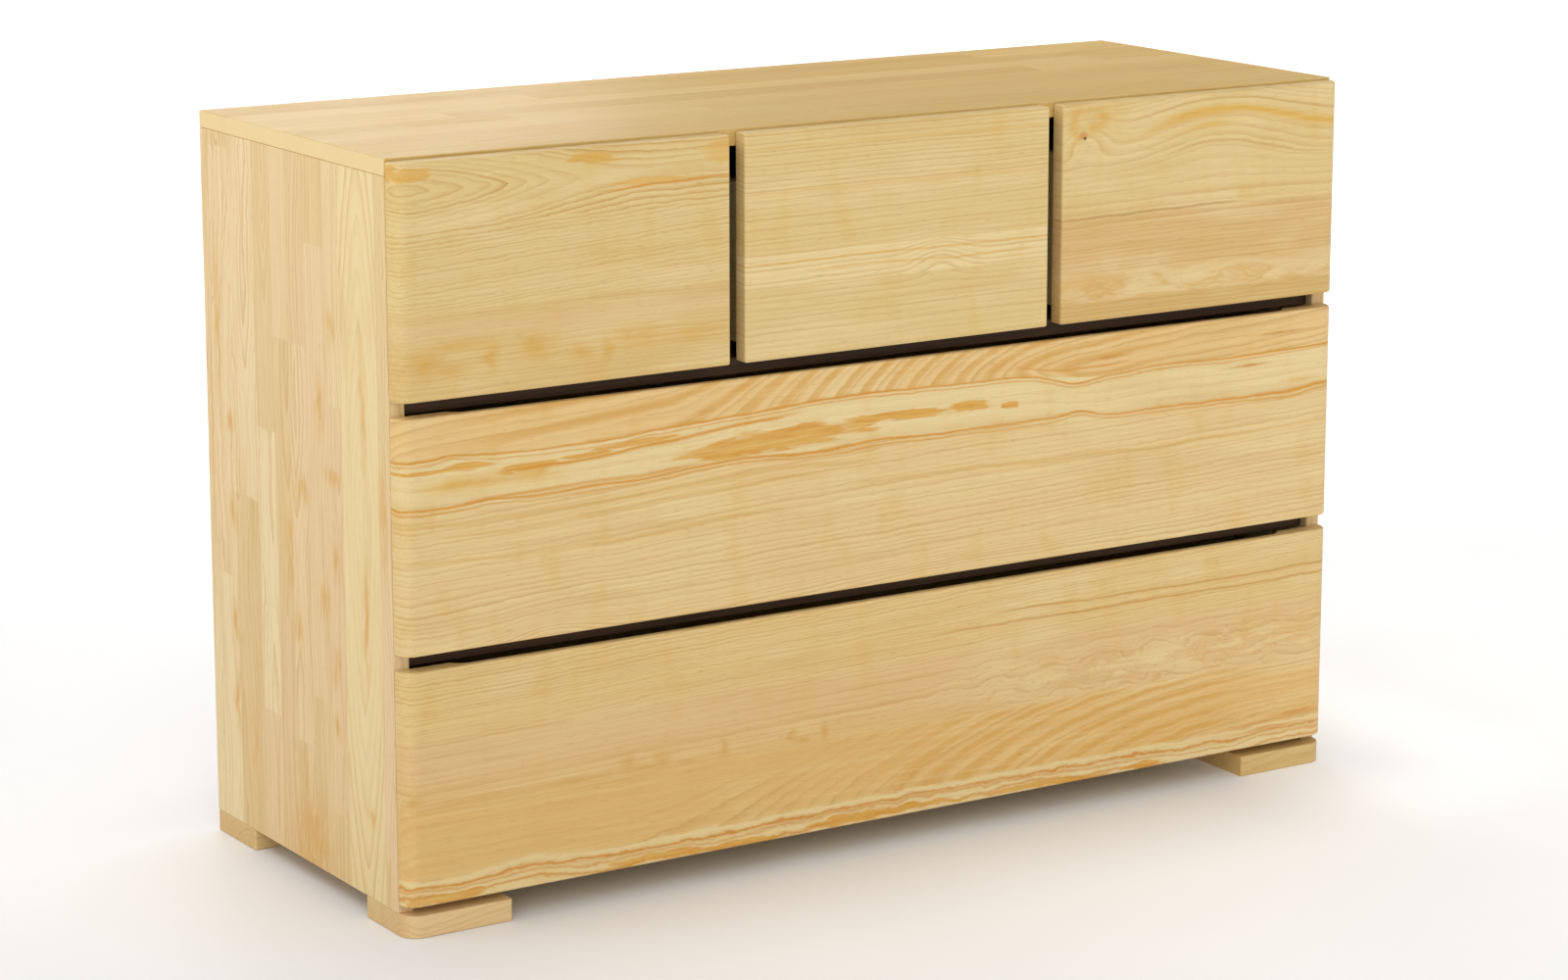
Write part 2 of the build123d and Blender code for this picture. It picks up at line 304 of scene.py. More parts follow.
def front_material(name, node, bands, seed, run, shift, bend, paint):
    """Varnished pine on a drawer front, with its grain across the chest.

    A band is (lower edge, heart, lean, start, growth, spacing, wave, strength, colour): how far its lower
    edge and its heart are below the front's top edge, how the grain leans, how deep under the face the
    pith is and how much deeper it gets where run is 1, and how the rings are spaced, waved and coloured.
    The other four are functions of p: run says where the pith gets deeper, shift moves the bands up or
    down, bend changes the count of rings, and paint adds what is drawn over them. In p, u runs along the
    front from its left end, d down from its top edge and w back from its face, all in metres.
    """
    g = Graph(name)
    low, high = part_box(node)
    x, y, z = g.place()
    u = x - low.x
    flat = -z + high.z
    w = y - low.y
    slow = g.noise(u * 2.6 + seed, flat * 9.0, w * 9.0, detail=2.0) - 0.5
    quick = g.noise(u * 24.0 + seed, flat * 60.0, w * 60.0, detail=3.5, roughness=0.62) - 0.5
    p = {"g": g, "u": u, "d": flat, "w": w, "slow": slow, "quick": quick}
    p["d"] = flat + shift(p)
    edges = [p["d"] > band[0] for band in bands[:-1]]
    columns = [[band[i] for band in bands] for i in range(1, 8)]
    heart, lean, start, growth, spacing, wave, strength = (banded(edges, column) for column in columns)
    across = p["d"] - heart + (u - (high.x - low.x) / 2) * lean + slow * 0.012 + quick * wave
    p["rings"] = ring_count(g, across, start + run(p) * growth + w * RING_DRIFT) / spacing
    p["rings"] = bend(p)
    late = late_wood(g, p["rings"], seed)
    base = bands[0][8]
    for edge, band in zip(edges, bands[1:]):
        base = g.mix(edge, base, band[8])
    cloud = g.noise(u * 6.0 + seed, flat * 24.0, w * 24.0, detail=2.0)
    shade = g.noise(u * 3.0 + seed + 9.0, flat * 40.0, w * 24.0, detail=2.0)
    clouded = g.mix(g.smooth(cloud, 0.45, 0.75) * 0.6, base, PALE)
    shaded = g.mix(g.smooth(shade, 0.50, 0.80) * 0.45, clouded, TAN)
    wash = g.noise(u * 30.0 + seed, flat * 14.0, w * 14.0, detail=2.0)
    washed = g.mix(g.smooth(wash, 0.50, 0.75) * 0.22, shaded, HONEY)
    p["colour"] = g.mix(late * strength, washed, LATE)
    p["colour"] = paint(p)
    end_grain = g.smooth(g.math("ABSOLUTE", g.normal()[X]), *END_FACE)
    return varnished(g, p["colour"], late, u, flat, w, end_grain, FRONT_END_TONE)


def along(p):
    """A pith that gets deeper all the way along the front."""
    return p["u"]


def falling(p, first, last):
    """1 before the first place along the front and 0 after the last one, with a soft slope between."""
    return p["g"].smooth(-p["u"], -last, -first)


def swell(p, at, width, height):
    """A height that rises to its full value at a place along the front."""
    across = (p["u"] - at) / width
    return p["g"].math("EXPONENT", -(across * across)) * height


def flames_in(p, first, last, top, bottom, strength):
    """Broad soft stripes of two years' late wood each, inside a part of the front."""
    g = p["g"]
    wave = g.math("SINE", p["rings"] * math.pi + p["slow"] * 8.0)
    ends = g.smooth(p["u"], first, first + 0.15) * g.smooth(-p["u"], -last, 0.10 - last)
    rows = g.smooth(p["d"], top - 0.002, top + 0.002) * (p["d"] < bottom)
    return g.mix(g.smooth(wave, -0.2, 0.9) * ends * rows * strength, p["colour"], FLAME)


def unshifted(p):
    """Bands that stay where they are."""
    return 0.0


def unbent(p):
    """Rings as they are counted."""
    return p["rings"]


def amber_in(p, places, ragged=0.5, colour=AMBER, strength=0.9):
    """Patches of resin-rich amber wood, each at (place, size) on the front."""
    g = p["g"]
    rough = g.noise(p["u"] * 22.0, p["d"] * 190.0, p["w"] * 150.0, detail=3.0)
    tone = g.noise(p["u"] * 16.0, p["d"] * 300.0, p["w"] * 200.0, detail=2.0)
    richer = g.mix(g.smooth(tone, 0.35, 0.70), HONEY, colour)
    painted = p["colour"]
    down = p["d"] + p["quick"] * 0.005
    for at, size in places:
        painted = g.mix(g.patch(p["u"], down, at, size, rough, ragged) * strength, painted, richer)
    return painted


def thread_in(p, lines, colour=AMBER):
    """Thin dark growth lines: each is (distance down, slope, wave, width, first u, last u, strength)."""
    g = p["g"]
    painted = p["colour"]
    for down, slope, wave, width, first, last, strength in lines:
        path = p["d"] - down - (p["u"] - first) * slope + p["slow"] * wave + p["quick"] * 0.005
        near = g.math("EXPONENT", -(path * path) / (width * width))
        begins = g.smooth(p["u"], first - 0.03, first + 0.03)
        ends = g.smooth(-p["u"], -last - 0.03, 0.03 - last)
        painted = g.mix(near * begins * ends * strength, painted, colour)
    return painted


def smoke_in(p, places, colour, strength=0.65):
    """Soft smears of darker wood, each at (place, size) on the front."""
    g = p["g"]
    rough = g.noise(p["u"] * 60.0, p["d"] * 60.0, p["w"] * 60.0, detail=2.0)
    bent = p["u"] + g.noise(p["u"] * 20.0, p["d"] * 55.0, p["w"] * 60.0, detail=1.0) * 0.03 - 0.015
    painted = p["colour"]
    for at, size in places:
        soft = g.bell(bent, p["d"], at, size)
        painted = g.mix(soft * (rough * 1.2 + 0.35) * strength, painted, colour)
    return painted


def veil_in(p, at, size, colour, strength):
    """A wide soft area where the lines fade into one colour."""
    return p["g"].mix(p["g"].bell(p["u"], p["d"], at, size) * strength, p["colour"], colour)


def upper_left_run(p):
    """The upper left front's pith gets deeper to the right, so its arches point that way."""
    return p["g"].smooth(p["u"], -0.06, 0.30)


def upper_left_paint(p):
    """Gold patches at the top edge, one thin amber line and a row of smears near the bottom."""
    spots = [
        ((0.012, 0.012), (0.030, 0.008)),
        ((0.225, 0.011), (0.030, 0.006)),
        ((0.378, 0.015), (0.022, 0.014)),
    ]
    p["colour"] = amber_in(p, spots, ragged=0.7, strength=0.8, colour=GOLD)
    p["colour"] = amber_in(p, [((0.290, 0.039), (0.045, 0.0035))], strength=0.7, colour=HONEY)
    p["colour"] = thread_in(p, [(0.044, -0.03, 0.02, 0.0012, 0.24, 0.40, 0.85)])
    marks = [
        ((0.030, 0.205), (0.016, 0.014)),
        ((0.062, 0.213), (0.020, 0.006)),
        ((0.107, 0.204), (0.008, 0.015)),
        ((0.155, 0.198), (0.022, 0.014)),
        ((0.205, 0.208), (0.011, 0.009)),
        ((0.238, 0.209), (0.007, 0.012)),
        ((0.275, 0.198), (0.030, 0.012)),
        ((0.070, 0.188), (0.030, 0.006)),
        ((0.340, 0.203), (0.030, 0.008)),
    ]
    p["colour"] = smoke_in(p, marks, GOLD, 0.70)
    p["colour"] = veil_in(p, (0.33, 0.017), (0.06, 0.010), STRAW, 0.6)
    return veil_in(p, (0.20, 0.172), (0.30, 0.010), srgb(222, 190, 138), 0.6)


def upper_right_shift(p):
    """One wide arc of grain over the upper right front."""
    g = p["g"]
    return g.bell(p["u"], p["d"], (0.215, 0.025), (0.115, 0.060)) * 0.030


def upper_right_bend(p):
    """Rings that close round a small knot, and folded grain near the bottom."""
    g = p["g"]
    round_knot = g.bell(p["u"], p["d"], (0.030, 0.038), (0.036, 0.022))
    folds = g.bell(p["u"], p["d"], (0.20, 0.205), (0.30, 0.015))
    blobs = g.noise(p["u"] * 17.0 + 3.0, p["d"] * 26.0, 0.0, detail=2.0, distortion=0.6) - 0.5
    return p["rings"] + round_knot * 3.6 + folds * blobs * 7.0


def upper_right_paint(p):
    """A small knot with a gold rim, gold lines along the arc and pale loops near the bottom."""
    g = p["g"]
    rim = [
        ((0.016, 0.024), (0.006, 0.018)),
        ((0.052, 0.020), (0.010, 0.009)),
        ((0.030, 0.010), (0.028, 0.003)),
    ]
    p["colour"] = smoke_in(p, rim + [((0.040, 0.030), (0.010, 0.007))], GOLD, 0.8)
    arc = [
        (0.047, 0.0, 0.01, 0.0046, 0.14, 0.42, 0.85),
        (0.064, 0.0, 0.01, 0.0030, 0.18, 0.23, 0.8),
        (0.052, 0.0, 0.02, 0.0026, 0.11, 0.24, 0.6),
    ]
    p["colour"] = thread_in(p, arc, srgb(216, 170, 74))
    fine = [
        (0.078, 0.0, 0.01, 0.0011, 0.15, 0.36, 0.5),
        (0.032, 0.0, 0.01, 0.0012, 0.10, 0.40, 0.4),
    ]
    p["colour"] = thread_in(p, fine, LATE)
    loops = g.noise(p["u"] * 11.0 + 5.0, p["d"] * 40.0, p["w"] * 40.0, detail=2.0, distortion=1.0)
    area = g.bell(p["u"], p["d"], (0.20, 0.206), (0.34, 0.017)) * (p["d"] < 0.220)
    p["colour"] = g.mix(g.smooth(loops, 0.42, 0.62) * area * 0.65, p["colour"], PALE)
    rims = g.smooth(loops, 0.41, 0.45) * g.smooth(loops * -1.0, -0.50, -0.46)
    p["colour"] = g.mix(rims * area * 0.45, p["colour"], GOLD)
    p["colour"] = thread_in(p, [(0.1262, 0.0, 0.0, 0.0013, 0.0, 0.24, 0.75)], srgb(172, 124, 62))
    knot = g.bell(p["u"], p["d"], (0.027, 0.037), (0.0075, 0.0060))
    heart = g.bell(p["u"], p["d"], (0.029, 0.040), (0.0024, 0.0020))
    knotted = g.mix(g.smooth(knot, 0.2, 0.9) * 0.75, p["colour"], srgb(200, 140, 66))
    return g.mix(g.smooth(heart, 0.3, 0.7), knotted, srgb(72, 42, 22))


def upper_middle_bend(p):
    """A small wave in the pale band."""
    g = p["g"]
    kink = g.bell(p["u"], p["d"], (0.245, 0.150), (0.035, 0.022))
    return p["rings"] + kink * 2.6


def upper_middle_paint(p):
    """A few even honey-coloured lines."""
    lines = [
        (0.141, 0.0, 0.02, 0.0013, 0.0, 0.42, 0.6),
        (0.154, 0.0, 0.03, 0.0013, 0.08, 0.36, 0.6),
        (0.018, 0.0, 0.01, 0.0011, 0.0, 0.42, 0.4),
        (0.064, 0.0, 0.01, 0.0014, 0.0, 0.42, 0.4),
    ]
    return thread_in(p, lines, HONEY)


def middle_run(p):
    """The middle front's pith comes nearer to its face on the right, so its arches point to the left."""
    return falling(p, 0.30, 0.88)


def middle_shift(p):
    """The bands rise over the middle of the front and dip on its right."""
    g = p["g"]
    rise = g.bell(p["u"], p["d"], (0.60, 0.045), (0.30, 0.100))
    dip = g.bell(p["u"], p["d"], (0.86, 0.045), (0.06, 0.050))
    return rise * 0.012 - dip * 0.006 + p["slow"] * 0.012


def middle_bend(p):
    """Two low humps along the bottom edge."""
    g = p["g"]
    hump = g.bell(p["u"], p["d"], (0.68, 0.245), (0.16, 0.020))
    hill = g.bell(p["u"], p["d"], (0.17, 0.245), (0.06, 0.022))
    return p["rings"] + hump * 3.2 + hill * 4.0


def middle_paint(p):
    """Slanting flames on top, then a pale band with amber streaks between wavy amber lines."""
    p["colour"] = flames_in(p, 0.02, 0.98, 0.0, 0.046, 0.66)
    knees = [
        ((0.88, 0.026), (0.022, 0.0022)),
        ((1.12, 0.024), (0.032, 0.0018)),
        ((1.07, 0.058), (0.028, 0.0018)),
    ]
    p["colour"] = smoke_in(p, knees, srgb(196, 138, 60), 0.9)
    stain = [
        ((0.075, 0.073), (0.045, 0.0080)),
        ((0.155, 0.070), (0.030, 0.0100)),
        ((1.150, 0.082), (0.020, 0.0022)),
    ]
    p["colour"] = smoke_in(p, stain, HONEY, 0.85)
    streaks = [
        ((0.44, 0.079), (0.125, 0.0125)),
        ((0.60, 0.072), (0.090, 0.0050)),
        ((0.690, 0.071), (0.030, 0.0055)),
        ((0.745, 0.075), (0.012, 0.0040)),
        ((0.075, 0.056), (0.034, 0.0045)),
        ((0.020, 0.057), (0.040, 0.0025)),
        ((0.145, 0.064), (0.038, 0.0050)),
        ((0.270, 0.056), (0.055, 0.0032)),
        ((0.215, 0.060), (0.030, 0.0026)),
    ]
    p["colour"] = amber_in(p, streaks, ragged=0.7)
    ripple = swell(p, 0.10, 0.03, -0.004) + swell(p, 0.47, 0.05, 0.004) + swell(p, 0.84, 0.03, -0.008)
    upper = 0.0460 + swell(p, 0.83, 0.035, 0.007) + swell(p, 0.06, 0.015, -0.002)
    lines = [
        (upper, 0.0, 0.01, 0.0014, -0.1, 1.3, 0.95),
        (upper + 0.0045, 0.0, 0.02, 0.0010, -0.1, 1.3, 0.7),
        (0.0340 - swell(p, 0.80, 0.03, -0.005), 0.0, 0.01, 0.0013, 0.76, 0.90, 0.8),
        (0.064, -0.026, 0.03, 0.0022, 0.16, 0.46, 0.95),
        (0.0940 + ripple, 0.0, 0.03, 0.0017, -0.1, 1.3, 0.95),
        (0.0985 + ripple, 0.0, 0.04, 0.0011, -0.1, 1.3, 0.7),
        (0.088, 0.010, 0.03, 0.0018, 0.10, 0.34, 0.8),
    ]
    p["colour"] = thread_in(p, lines)
    gold = [
        (0.112, 0.0, 0.05, 0.0030, 0.0, 0.55, 0.45),
        (0.128, -0.01, 0.06, 0.0022, 0.05, 0.50, 0.45),
        (0.160, 0.0, 0.06, 0.0022, 0.0, 0.45, 0.40),
        (0.139, -0.01, 0.05, 0.0018, 0.55, 1.25, 0.45),
    ]
    return thread_in(p, gold, srgb(208, 162, 76))


def lower_run(p):
    """The lower front's pith comes nearer to its face all the way along, so its arches point to the left."""
    return falling(p, 0.25, 1.14)


def lower_shift(p):
    """The bands near the bottom edge wave up and down."""
    g = p["g"]
    near_bottom = g.smooth(p["d"], 0.17, 0.22)
    return near_bottom * (swell(p, 0.135, 0.055, 0.0075) + p["slow"] * 0.012 + p["quick"] * 0.010 - 0.001)


def lower_bend(p):
    """Swirls in the band above the flames, at the right."""
    g = p["g"]
    ripple = g.math("SINE", p["u"] * 80.0 + p["slow"] * 16.0)
    swirls = g.bell(p["u"], p["d"], (0.95, 0.118), (0.24, 0.024))
    return p["rings"] + swirls * (ripple * 1.2 + p["quick"] * 6.0 + 1.0)


def lower_paint(p):
    """Faint flames at the right, smears at the left, and amber waves along the bottom edge."""
    p["colour"] = flames_in(p, 0.50, 1.12, 0.150, 0.220, 0.75)
    p["colour"] = veil_in(p, (0.12, 0.185), (0.34, 0.050), srgb(218, 180, 113), 0.75)
    p["colour"] = veil_in(p, (0.48, 0.160), (0.24, 0.024), srgb(218, 180, 114), 0.80)
    p["colour"] = veil_in(p, (0.22, 0.095), (0.30, 0.022), srgb(220, 187, 132), 0.70)
    marks = [
        ((0.012, 0.136), (0.012, 0.005)),
        ((0.262, 0.133), (0.009, 0.008)),
        ((0.280, 0.141), (0.022, 0.003)),
        ((0.303, 0.136), (0.008, 0.008)),
        ((0.335, 0.143), (0.016, 0.003)),
        ((0.380, 0.136), (0.006, 0.010)),
        ((0.468, 0.134), (0.006, 0.007)),
        ((0.478, 0.142), (0.010, 0.003)),
        ((0.504, 0.136), (0.005, 0.009)),
        ((0.090, 0.142), (0.060, 0.004)),
        ((0.200, 0.141), (0.040, 0.004)),
    ]
    p["colour"] = smoke_in(p, marks, srgb(206, 156, 78))
    swirls = p["g"].noise(p["u"] * 12.0, p["d"] * 45.0, p["w"] * 40.0, detail=2.0, distortion=1.2)
    area = p["g"].bell(p["u"], p["d"], (1.00, 0.122), (0.24, 0.022))
    p["colour"] = p["g"].mix(p["g"].smooth(swirls, 0.48, 0.62) * area * 0.75, p["colour"], PALE)
    upper = [
        (0.0375, 0.003, 0.02, 0.0013, 0.74, 1.3, 0.85),
        (0.0500, 0.0, 0.02, 0.0014, 0.66, 1.3, 0.75),
    ]
    p["colour"] = thread_in(p, upper, srgb(196, 140, 62))
    lines = [(0.2215, 0.0, 0.0, 0.0030, -0.1, 1.3, 0.8)]
    p["colour"] = thread_in(p, lines, PALE)
    lines = [
        (0.2275, 0.0, 0.01, 0.0018, -0.1, 1.3, 0.95),
        (0.2320, 0.0, 0.03, 0.0012, -0.1, 1.3, 0.6),
        (0.2390, 0.0, 0.05, 0.0018, -0.1, 1.3, 0.8),
    ]
    p["colour"] = thread_in(p, lines, srgb(204, 138, 52))
    streaks = [
        ((0.05, 0.241), (0.055, 0.0040)),
        ((0.30, 0.239), (0.060, 0.0050)),
        ((0.40, 0.241), (0.060, 0.0040)),
        ((0.57, 0.238), (0.110, 0.0045)),
        ((0.80, 0.242), (0.090, 0.0040)),
        ((0.93, 0.241), (0.030, 0.0036)),
    ]
    p["colour"] = amber_in(p, streaks, ragged=0.7)
    eye = [
        ((1.090, 0.217), (0.040, 0.0022)),
        ((1.150, 0.212), (0.030, 0.0022)),
        ((1.120, 0.224), (0.050, 0.0020)),
    ]
    p["colour"] = smoke_in(p, eye, srgb(206, 140, 66), 0.9)
    return veil_in(p, (0.95, 0.205), (0.26, 0.024), HONEY, 0.22)


UPPER_LEFT = [
    (0.066, 0.029, 0.00, 0.002, 0.042, 0.0050, 0.0070, 0.80, STRAW),
    (0.152, -0.20, 0.06, 0.030, 0.000, 0.0042, 0.0080, 0.60, STRAW),
    (0.241, -0.20, 0.01, 0.030, 0.000, 0.0044, 0.0060, 0.40, BUFF),
]
UPPER_MIDDLE = [
    (0.075, -0.30, 0.00, 0.030, 0.010, 0.0044, 0.0020, 0.60, STRAW),
    (0.130, -0.30, 0.01, 0.030, 0.010, 0.0056, 0.0008, 0.45, STRAW),
    (0.165, -0.30, 0.00, 0.030, 0.010, 0.0060, 0.0030, 0.60, PALE),
    (0.241, -0.30, 0.00, 0.030, 0.010, 0.0062, 0.0014, 0.40, STRAW),
]
UPPER_RIGHT = [
    (0.1265, -0.30, 0.00, 0.030, 0.000, 0.0078, 0.0040, 0.36, STRAW),
    (0.1870, -0.30, 0.01, 0.030, 0.000, 0.0050, 0.0030, 0.55, srgb(214, 180, 122)),
    (0.2200, -0.30, 0.00, 0.030, 0.000, 0.0080, 0.0060, 0.40, srgb(217, 184, 126)),
    (0.2410, -0.30, 0.00, 0.030, 0.000, 0.0044, 0.0010, 0.65, TAN),
]
MIDDLE = [
    (0.0460, 0.050, 0.06, 0.012, 0.170, 0.0070, 0.0060, 0.60, srgb(228, 193, 133)),
    (0.0960, -0.10, 0.00, 0.030, 0.000, 0.0120, 0.0030, 0.25, PALE),
    (0.2440, -0.30, 0.03, 0.030, 0.000, 0.0056, 0.0055, 0.52, srgb(227, 199, 143)),
]
LOWER = [
    (0.075, -0.20, 0.03, 0.030, 0.000, 0.0038, 0.0070, 0.55, srgb(223, 194, 134)),
    (0.147, -0.20, 0.02, 0.030, 0.000, 0.0066, 0.0040, 0.45, srgb(222, 189, 133)),
    (0.2200, 0.228, 0.00, 0.010, 0.165, 0.0068, 0.0060, 0.60, srgb(226, 188, 124)),
    (0.2470, 0.250, 0.00, 0.050, 0.000, 0.0070, 0.0014, 0.35, PALE),
]
FRONTS = {
    "upper_left": (UPPER_LEFT, upper_left_run, unshifted, unbent, upper_left_paint),
    "upper_middle": (UPPER_MIDDLE, along, unshifted, upper_middle_bend, upper_middle_paint),
    "upper_right": (UPPER_RIGHT, along, upper_right_shift, upper_right_bend, upper_right_paint),
    "middle": (MIDDLE, middle_run, middle_shift, middle_bend, middle_paint),
    "lower": (LOWER, lower_run, lower_shift, lower_bend, lower_paint),
}


# ---------------------------------------------------------------- glued staves

TINTS = [PALE, STRAW, BLUSH, BUFF, PALE, BLUSH, TAN, STRAW]
FINGER_HALF_PITCH = 0.0022
FINGER_REACH = 1.2
HEART_SPACING = 0.0085
RESIN = srgb(213, 165, 90)


def resin_in(g, colour, u, v, w, marks):
    """Streaks of resin along the grain, each at (across, along) with its (half width, half length)."""
    rough = g.noise(u * 32.0, v * 300.0, w * 300.0, detail=2.0)
    bent = v + g.noise(u * 34.0, v * 12.0, w * 12.0, detail=2.0) * 0.014 - 0.007
    streaked = g.smooth(rough, 0.34, 0.60) * 0.95 + 0.18
    painted = colour
    for at, size in marks:
        soft = g.bell(bent, u, at, size)
        painted = g.mix(soft * streaked, painted, RESIN)
    return painted


def stave_material(
    name,
    node,
    axes,
    width,
    length,
    seed,
    strength,
    edges=(),
    heart=None,
    tints=TINTS,
    marks=(),
    end=(0.25, END_GRAIN),
    gloss=VARNISH_GLOSS,
):
    """Varnished pine of narrow staves, glued edge to edge and finger-jointed end to end.

    Axes are along the grain, across it and through the board. The staves are of one width, or lie between
    given edges. A heart is (first edge, last edge, middle of the arches) of one long stave with arched
    grain. Strength is how dark the late wood is, and end is the (tone, colour) of the end grain.
    """
    g = Graph(name)
    low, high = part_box(node)
    place = g.place()
    u, v, w = (place[axis] - low[axis] for axis in axes)
    if edges:
        steps = [v > edge for edge in edges]
        sides = [0.0, *edges, high[axes[1]] - low[axes[1]]]
        stave = banded(steps, list(range(len(edges) + 1)))
        centre = banded(steps, [(a + b) / 2 for a, b in zip(sides, sides[1:])])
    else:
        stave = g.math("FLOOR", v / width)
        centre = (stave + 0.5) * width
    chance = g.white(stave, seed)
    comb = g.math("PINGPONG", v, FINGER_HALF_PITCH)
    begins = u + chance * 3.0 + comb * FINGER_REACH
    piece = g.math("FLOOR", begins / (chance * length * 0.6 + length * 0.7))
    whole = 0.0
    if heart:
        whole = (v > heart[0]) * (v < heart[1])
        piece = piece * (1.0 - whole)
    first = g.white(stave, piece, seed)
    second = g.white(stave, piece, seed + 5.0)
    third = g.white(stave, piece, seed + 9.0)
    slow = g.noise(u * 3.0 + first * 40.0, v * 9.0, w * 9.0, detail=2.0) - 0.5
    quick = g.noise(u * 20.0 + second * 40.0, v * 50.0, w * 50.0, detail=2.0) - 0.5
    wild = g.smooth(third, 0.60, 0.90) * 0.016 + 0.0020
    leaning = v - centre + (second - 0.5) * 0.09 + (u - 0.4) * (third - 0.5) * 0.03
    offset = leaning + slow * 0.016 + quick * wild
    depth = g.noise(u * 2.6 + third * 30.0, stave, 0.0, detail=1.0) * 0.09 + w - 0.024
    spacing = first * 0.0030 + 0.0042
    if heart:
        middle = g.math("ABSOLUTE", u - heart[2])
        arched = v - centre + slow * 0.012 + quick * 0.006
        offset = offset + (arched - offset) * whole
        depth = depth + (middle * 0.150 + w + 0.002 - depth) * whole
        spacing = spacing + (HEART_SPACING - spacing) * whole
    late = late_wood(g, ring_count(g, offset, depth) / spacing, seed)
    stops = [(index / (len(tints) - 1), tint) for index, tint in enumerate(tints)]
    base = g.ramp(first * 0.999, stops)
    shown = (third * 0.6 + 0.4) * strength
    if heart:
        base = g.mix(whole, base, PALE)
        shown = shown + (g.smooth(middle, 0.10, 0.28) * 0.36 + 0.16 - shown) * whole
    cloud = g.noise(u * 4.0 + second * 20.0, v * 30.0, w * 20.0, detail=2.0)
    clouded = g.mix(g.smooth(cloud, 0.50, 0.80) * 0.6, base, TAN)
    lined = g.mix(late * shown, clouded, LATE)
    streak = g.noise(u * 3.0 + first * 60.0, v * 90.0, w * 60.0, detail=2.0)
    resin = g.smooth(streak, 0.62, 0.76) * g.smooth(third, 0.35, 0.7) * 0.55
    resined = g.mix(resin, lined, HONEY)
    if marks:
        resined = resin_in(g, resined, u, v, w, marks)
    facing = g.normal()[axes[0]]
    end_grain = g.smooth(g.math("ABSOLUTE", facing), *END_FACE)
    return varnished(g, resined, late, u, v, w, end_grain, *end, gloss)


# ---------------------------------------------------------------- other materials


def gap_shade_material():
    """Pine stained nearly black for the boards that close the finger gaps, as painted shade that stands in
    for the shade deep inside the gaps.
    """
    g = Graph("dark_stained_wood")
    x, y, z = g.place()
    grain = g.noise(x * 6.0, y * 160.0, z * 160.0, detail=3.0)
    pore = g.noise(x * 30.0, y * 700.0, z * 700.0, detail=2.0)
    colour = g.ramp(grain, [(0.3, srgb(62, 42, 24)), (0.7, srgb(88, 62, 38))])
    g.set(Base_Color=colour, Roughness=pore * 0.2 + 0.45)
    g.set(Specular_IOR_Level=0.3)
    g.bump(grain * 0.5 + pore * 0.5, 0.0002)
    return g.material


def hardboard_material():
    """Pressed fibre board, brown and matt."""
    g = Graph("hardboard")
    x, y, z = g.place()
    fleck = g.noise(x * 420.0, y * 420.0, z * 420.0, detail=3.0, roughness=0.7)
    cloud = g.noise(x * 12.0, y * 12.0, z * 12.0, detail=3.0)
    colour = g.ramp(fleck * 0.7 + cloud * 0.3, [(0.35, srgb(136, 98, 62)), (0.65, srgb(176, 136, 92))])
    g.set(Base_Color=colour, Roughness=fleck * 0.2 + 0.55)
    g.bump(fleck, 0.0002)
    return g.material


def steel_material(name, dark, light, rough):
    """Zinc-plated steel with a faint spangle and rolling marks."""
    g = Graph(name)
    x, y, z = g.place()
    rolled = g.noise(x * 500.0, y * 18.0, z * 500.0, detail=2.0)
    spangle = g.noise(x * 240.0, y * 240.0, z * 240.0, detail=1.0)
    colour = g.ramp(spangle * 0.5 + rolled * 0.5, [(0.3, dark), (0.7, light)])
    g.set(Base_Color=colour, Roughness=spangle * 0.12 + rolled * 0.08 + rough)
    g.set(Metallic=1.0)
    g.bump(rolled, 0.00003)
    return g.material


def dowel_material():
    """Beech end grain: small pores and pale rays."""
    g = Graph("dowel_end_grain")
    x, y, z = g.place()
    pore = g.noise(x * 900.0, y * 1400.0, z * 1400.0, detail=2.0)
    ray = g.noise(x * 60.0, y * 60.0, z * 900.0, detail=2.0)
    colour = g.ramp(pore * 0.6 + ray * 0.4, [(0.35, srgb(166, 120, 74)), (0.65, srgb(206, 166, 116))])
    g.set(Base_Color=colour, Roughness=pore * 0.15 + 0.5)
    g.bump(pore, 0.0001)
    return g.material


def floor_material():
    """A pale floor that glows with painted light, growing lighter away from the chest and beside its right
    side, so it fades into the white room.
    """
    g = Graph("floor_with_painted_light")
    x, y, z = g.place()
    cloud = g.noise(x * 1.3, y * 1.3, z, detail=3.0)
    grit = g.noise(x * 60.0, y * 60.0, z, detail=2.0)
    g.set(Base_Color=g.ramp(cloud, [(0.3, srgb(243, 243, 243)), (0.7, srgb(249, 249, 249))]))
    g.set(Roughness=grit * 0.1 + 0.5)
    g.set(Specular_IOR_Level=0.2)
    beside = g.math("MAXIMUM", g.math("ABSOLUTE", x) - CAD_BOX[1].x, 0.0)
    before = g.math("MAXIMUM", g.math("ABSOLUTE", y) - CAD_BOX[1].y, 0.0)
    away = g.math("SQRT", beside * beside + before * before)
    # Painted light on the floor: little glow at the chest, more to its right and far off, and a patch beside
    # its right side that lifts the key light's shadow.
    near = g.smooth(away, -0.03, 0.27) * (g.smooth(x, -1.0, 0.7) * 0.19 + 0.05)
    far = g.smooth(away, 0.8, 3.0) * 0.45
    painted_light_by_right_side = g.smooth(x, 0.40, 0.60) * g.smooth(-away, -0.30, -0.10) * 0.15
    painted_floor_light = near + far + painted_light_by_right_side
    g.set(Emission_Color=(1.0, 1.0, 1.0, 1.0), Emission_Strength=painted_floor_light)
    g.bump(grit, 0.0001)
    return g.material


# ---------------------------------------------------------------- dressing the chest

